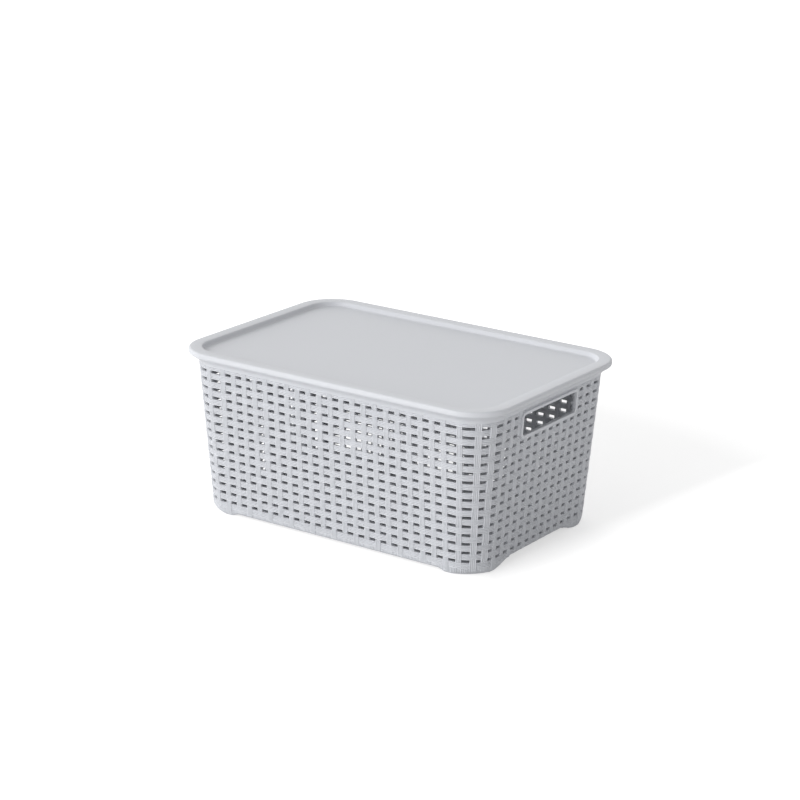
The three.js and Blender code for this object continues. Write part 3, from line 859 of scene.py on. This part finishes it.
class RATTAN_OT_rim(bpy.types.Operator):
    """Make the basket's smooth rim: its cove, its lip and the bead inside the lid"""

    bl_idname = "rattan.rim"
    bl_label = "Rim"

    def execute(self, context):
        plan = Plan(settings().body)
        stations = plan.stations(RING_STEP, RIM_CORNER_STEPS)
        mesh = new_mesh("rim", *loft(rings_round(plan, stations, COVE + BEAD), closed=True))
        finish_piece("rim", mesh, plastic("smooth plastic"), "basket")
        return {"FINISHED"}


def land_rings(plan, base, stations, skirt):
    """The inside of the skirt: from the floor's underside down to the land that the feet stand on."""
    turn = plan.turn(stations)
    drawn_in = plan.drift * plan.lean(0)
    inner_reach = plan.radius + plan.lean(0) - base.side_radius - base.land - drawn_in
    # Across a corner the land's inner edge is a straight line
    to_middle = np.where(turn > 0, turn - math.pi / 4, -math.pi / 4)
    land = inner_reach * math.cos(math.pi / 4) / np.cos(to_middle) - plan.radius + drawn_in
    corner = land + base.land_trim
    return [
        plan.place(stations, land - base.land_slope, base.floor_underside),
        plan.place(stations, corner - base.land_chamfer, skirt + base.land_chamfer),
        plan.place(stations, corner, skirt),
    ]


def skirt_rings(plan, base, stations, skirt, groove_depth):
    """The ribbed outside of the skirt: round its edge, where the grooves deepen, and up to its top."""
    radius = edge_radius(plan, base, stations)
    foot = plan.lean(skirt + radius) - radius
    grooves = np.where(np.arange(len(stations)) % SKIRT_STEPS, 0, groove_depth)
    rings = []
    for swing in np.arange(EDGE_STEPS + 1) / EDGE_STEPS * math.pi / 2:
        level = skirt + radius * (1 - math.cos(swing))
        step = base.step_depth * np.clip((level - base.step_level) / base.step_run, 0, 1)
        sunk = base.skirt_sunk + grooves * math.sin(swing) + step
        rings.append(plan.place(stations, foot + radius * math.sin(swing) - sunk, level))
    top_offset = plan.lean(base.skirt_top) - base.skirt_sunk - base.step_depth
    rings.append(plan.place(stations, top_offset, base.skirt_top))
    return rings


def floor_rings(plan, base, stations):
    """The inside of the basket: down the wall and through a fillet onto the floor."""
    rings = [plan.place(stations, plan.lean(base.skirt_top) - base.wall, base.skirt_top)]
    for swing in np.arange(FILLET_STEPS + 1) / FILLET_STEPS * math.pi / 2:
        offset = plan.lean(base.floor_top) - base.wall - base.fillet * math.sin(swing)
        rings.append(plan.place(stations, offset, base.floor_top + base.fillet * (1 - math.sin(swing))))
    return rings


class RATTAN_OT_base(bpy.types.Operator):
    """Make the basket's floor, its skirt and its corner feet"""

    bl_idname = "rattan.base"
    bl_label = "Base"

    def execute(self, context):
        box = settings()
        plan = Plan(box.body)
        base = box.base
        ribs = plan.stations(base.skirt_rib, round(plan.arc / base.skirt_rib))
        widths = np.diff(np.append(ribs, ribs[0] + plan.around))
        stations = (ribs[:, None] + widths[:, None] * np.arange(SKIRT_STEPS) / SKIRT_STEPS).ravel()
        skirt = skirt_level(plan, base, stations)
        rings = land_rings(plan, base, stations, skirt)
        rings += skirt_rings(plan, base, stations, skirt, base.skirt_groove * box.weave.rib_depth)
        rings += floor_rings(plan, base, stations)
        mesh = new_mesh("base", *loft(rings, cap_first=True, cap_last=True))
        finish_piece("base", mesh, plastic("skirt plastic"), "basket")
        return {"FINISHED"}


def frame_rings(plan, hand, side, section):
    """A ring round the opening for each point of the frame's section: ways out from it and off the wall."""
    turns = np.concatenate([
        (quarter + np.arange(FRAME_STEPS + 1) / FRAME_STEPS) * math.pi / 2 for quarter in range(4)])
    signs = np.repeat(((1, 1), (-1, 1), (-1, -1), (1, -1)), FRAME_STEPS + 1, axis=0)
    middle = hand.level + hand.height / 2
    rings = []
    for grow, proud in section:
        radius = hand.corner_radius + grow
        across = signs[:, 0] * (hand.width / 2 - hand.corner_radius) + radius * np.cos(turns)
        levels = middle + signs[:, 1] * (hand.height / 2 - hand.corner_radius) + radius * np.sin(turns)
        reach = plan.long_half + plan.radius + plan.lean(levels) + proud
        rings.append(np.stack((side * reach, side * across, levels), axis=-1))
    return rings


class RATTAN_OT_hand_frames(bpy.types.Operator):
    """Make the raised frames of the two hand holes"""

    bl_idname = "rattan.hand_frames"
    bl_label = "Hand frames"

    def execute(self, context):
        box = settings()
        plan = Plan(box.body)
        hand = box.hand
        width, proud, edge = hand.frame_width, hand.frame_proud, hand.frame_round
        cut = edge * (1 - math.cos(math.pi / 4))
        section = (
            (0, -hand.frame_depth), (0, proud - edge), (cut, proud - cut), (edge, proud),
            (width - edge, proud), (width - cut, proud - cut), (width, proud - edge),
            (width, -hand.frame_depth),
        )
        parts = [loft(frame_rings(plan, hand, side, section[::-1]), closed=True) for side in (1, -1)]
        mesh = new_mesh("hand_frames", *joined(parts))
        finish_piece("hand_frames", mesh, plastic("frame plastic"), "basket")
        return {"FINISHED"}


class RATTAN_OT_lid(bpy.types.Operator):
    """Make the lid: a flat panel sunk inside a broad hollow rim"""

    bl_idname = "rattan.lid"
    bl_label = "Lid"

    def execute(self, context):
        plan = Plan(settings().body)
        stations = plan.stations(RING_STEP, LID_CORNER_STEPS)
        turns = np.arange(SHOULDER_STEPS + 1) / SHOULDER_STEPS * math.pi / 2
        shoulder = LID_SHOULDER + SHOULDER_RADIUS * np.stack((np.cos(turns), np.sin(turns)), axis=-1)
        rings = rings_round(plan, stations, (*LID_HOLLOW, *LID_EDGE, *shoulder, *LID_RECESS))
        mesh = new_mesh("lid_cover", *loft(rings, cap_first=True, cap_last=True))
        finish_piece("lid_cover", mesh, plastic("lid plastic"), "lid")
        return {"FINISHED"}


def lay_floor(studio):
    """A pale floor that glows for the camera alone, and less under the box and close behind it."""
    half = studio.floor_size / 2
    corners = [(-half, -half, 0), (half, -half, 0), (half, half, 0), (-half, half, 0)]
    floor = new_object("floor", new_mesh("floor", corners, [[0, 1, 2, 3]]))
    material = bpy.data.materials.new("studio floor")
    material.use_nodes = True
    tree = material.node_tree
    nodes = tree.nodes
    place = nodes.new("ShaderNodeTexCoord").outputs["Object"]
    for_camera = nodes.new("ShaderNodeLightPath").outputs["Is Camera Ray"]

    right, front, left = [
        worked_out(tree, "SUBTRACT", way_along(tree, place, way), start) for way, start in CLEAR_FLOOR]
    furthest = worked_out(tree, "MAXIMUM", worked_out(tree, "MAXIMUM", right, front), left)
    glows = (studio.near_glow, studio.clear_glow)
    glow_beside = mapped(tree, furthest, (0, studio.near_fade), glows)
    distance = nodes.new("ShaderNodeVectorMath")
    distance.operation = "LENGTH"
    tree.links.new(place, distance.inputs[0])
    reaches = (studio.near_reach * studio.near_core, studio.near_reach)
    glow_away = mapped(tree, distance.outputs["Value"], reaches, glows)

    shader = nodes["Principled BSDF"]
    shader.inputs["Roughness"].default_value = 0.9
    shader.inputs["Specular IOR Level"].default_value = 0.1
    glow = nodes.new("ShaderNodeEmission")
    dark = nodes.new("ShaderNodeEmission")
    dark.inputs["Strength"].default_value = 0
    seen = nodes.new("ShaderNodeMixShader")
    both = nodes.new("ShaderNodeAddShader")
    link(tree,
         toned(tree, for_camera, studio.floor, 1, studio.floor_share), shader.inputs["Base Color"],
         worked_out(tree, "MAXIMUM", glow_beside, glow_away), glow.inputs["Strength"],
         for_camera, seen.inputs["Fac"],
         dark.outputs["Emission"], seen.inputs[1],
         glow.outputs["Emission"], seen.inputs[2],
         shader.outputs["BSDF"], both.inputs[0],
         seen.outputs["Shader"], both.inputs[1],
         both.outputs["Shader"], nodes["Material Output"].inputs["Surface"])
    floor.data.materials.append(material)


def light_surroundings(studio):
    """A pale world, stronger on the left and weaker overhead, and white to the camera and in reflections."""
    world = bpy.data.worlds.new("studio")
    bpy.context.scene.world = world
    world.use_nodes = True
    tree = world.node_tree
    nodes = tree.nodes
    view = nodes.new("ShaderNodeTexCoord").outputs["Generated"]
    side_range = (studio.sky, studio.sky + studio.side_sky)
    from_side = mapped(tree, way_along(tree, view, LEFT), (0, 1), side_range)
    from_above = mapped(tree, way_along(tree, view, UP), (0, 1), (0, studio.top_sky))
    light = nodes["Background"]
    light.inputs["Color"].default_value = WHITE
    white = nodes.new("ShaderNodeBackground")
    white.inputs["Color"].default_value = WHITE
    white.inputs["Strength"].default_value = 1
    path = nodes.new("ShaderNodeLightPath")
    shown = worked_out(tree, "MAXIMUM", path.outputs["Is Camera Ray"], path.outputs["Is Glossy Ray"])
    shown = worked_out(tree, "MAXIMUM", shown, path.outputs["Is Transmission Ray"])
    mix = nodes.new("ShaderNodeMixShader")
    link(tree,
         worked_out(tree, "ADD", from_side, from_above), light.inputs["Strength"],
         shown, mix.inputs["Fac"],
         light.outputs["Background"], mix.inputs[1],
         white.outputs["Background"], mix.inputs[2],
         mix.outputs["Shader"], nodes["World Output"].inputs["Surface"])


def set_up(name, data, right, up, back, place):
    """A lamp or a camera at its place, with its own three axes."""
    made = new_object(name, data)
    made.matrix_world = Matrix(np.column_stack((right, up, back, place)).tolist() + [[0, 0, 0, 1]])
    return made


def hang_key_light(studio):
    """One soft light in front of the box, aimed at its middle."""
    lamp = bpy.data.lights.new("key", "AREA")
    lamp.energy = studio.key_power
    lamp.size = studio.key_size
    back = np.array(studio.key_way) / np.linalg.norm(studio.key_way)
    right = np.cross(UP, back)
    right = right / np.linalg.norm(right)
    box_middle = np.array((0, 0, CAD_BOX[1][2] / 2))
    set_up("key", lamp, right, np.cross(back, right), back, box_middle + studio.key_distance * back)


def set_camera(studio):
    """The camera at the photograph's viewing angle."""
    yaw, pitch, roll = studio.camera_yaw, studio.camera_pitch, studio.camera_roll
    forward = np.array((math.sin(yaw) * math.cos(pitch), math.cos(yaw) * math.cos(pitch), -math.sin(pitch)))
    level = np.array((math.cos(yaw), -math.sin(yaw), 0))
    upright = np.cross(level, forward)
    right = level * math.cos(roll) + upright * math.sin(roll)
    up = upright * math.cos(roll) - level * math.sin(roll)
    lens = bpy.data.cameras.new("camera")
    lens.sensor_width = studio.sensor_width
    lens.lens = studio.lens
    bpy.context.scene.camera = set_up("camera", lens, right, up, -forward, studio.camera_place)


class RATTAN_OT_stage(bpy.types.Operator):
    """Set the floor, the soft lights, the white surroundings and the camera"""

    bl_idname = "rattan.stage"
    bl_label = "Stage"

    def execute(self, context):
        studio = settings().studio
        lay_floor(studio)
        light_surroundings(studio)
        hang_key_light(studio)
        set_camera(studio)
        context.scene.view_settings.view_transform = "Standard"
        return {"FINISHED"}


class RATTAN_PT_panel(bpy.types.Panel):
    """The box's sizes and colours, and a button for each of its pieces"""

    bl_idname = "RATTAN_PT_panel"
    bl_label = "Rattan box"
    bl_space_type = "VIEW_3D"
    bl_region_type = "UI"
    bl_category = "Rattan box"

    def draw(self, context):
        box = context.scene.rattan_box
        for group in (box.body, box.weave, box.base, box.hand, box.finish, box.studio):
            column = self.layout.column(align=True)
            for name in group.__annotations__:
                column.prop(group, name)
        column = self.layout.column(align=True)
        for operator in OPERATORS:
            column.operator(operator.bl_idname)


OPERATORS = (
    RATTAN_OT_strands, RATTAN_OT_stakes, RATTAN_OT_rim, RATTAN_OT_base, RATTAN_OT_hand_frames,
    RATTAN_OT_lid, RATTAN_OT_stage,
)
CLASSES = (BodySizes, WeaveSizes, BaseSizes, HandSizes, Finish, Studio, BoxSettings) + OPERATORS + (
    RATTAN_PT_panel,)


def register():
    for each in CLASSES:
        bpy.utils.register_class(each)
    bpy.types.Scene.rattan_box = bpy.props.PointerProperty(
        type=BoxSettings, name="Rattan box", description="Sizes and colours of the rattan box")


def unregister():
    del bpy.types.Scene.rattan_box
    for each in reversed(CLASSES):
        bpy.utils.unregister_class(each)


def main():
    """Builds the box and its studio."""
    register()
    for step in ("strands", "stakes", "rim", "base", "hand_frames", "lid", "stage"):
        getattr(bpy.ops.rattan, step)()


if __name__ == "__main__":
    main()
